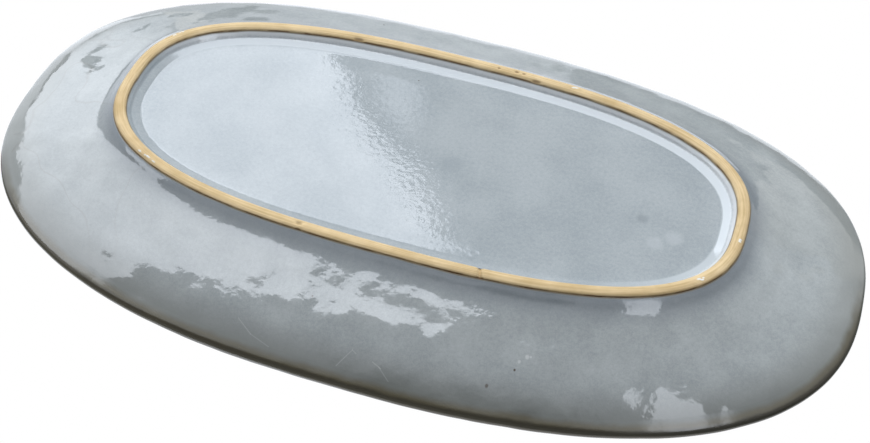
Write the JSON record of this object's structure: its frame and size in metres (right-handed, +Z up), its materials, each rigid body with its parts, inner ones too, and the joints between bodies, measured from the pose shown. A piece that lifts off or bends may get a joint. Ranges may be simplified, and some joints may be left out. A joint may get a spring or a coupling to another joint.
{
  "type": "oval serving plate",
  "caption": "Oval stoneware serving plate with a shallow upturned rim, an unglazed foot ring and a mottled grey-blue glaze that breaks brown at the lip.",
  "frame": {"origin": "middle of the plane that the foot ring stands on", "axes": "+X along the plate's length, +Y across its width, +Z up from the foot to the serving side"},
  "size_m": [0.363, 0.203, 0.0338],
  "materials": {
    "stoneware": "fired bare clay",
    "bare_foot": "unglazed, wiped smooth",
    "slip": "fired slip",
    "grey_glaze": "glossy, mottled",
    "brown_glaze": "glossy, thin"
  },
  "bodies": {
    "root": {"stoneware_body": "stoneware", "foot_ring": "bare_foot", "luting_slip": "slip", "flank_glaze": "grey_glaze", "base_glaze": "grey_glaze", "serving_glaze": "grey_glaze", "lip_glaze": "brown_glaze"}
  },
  "joints": []
}
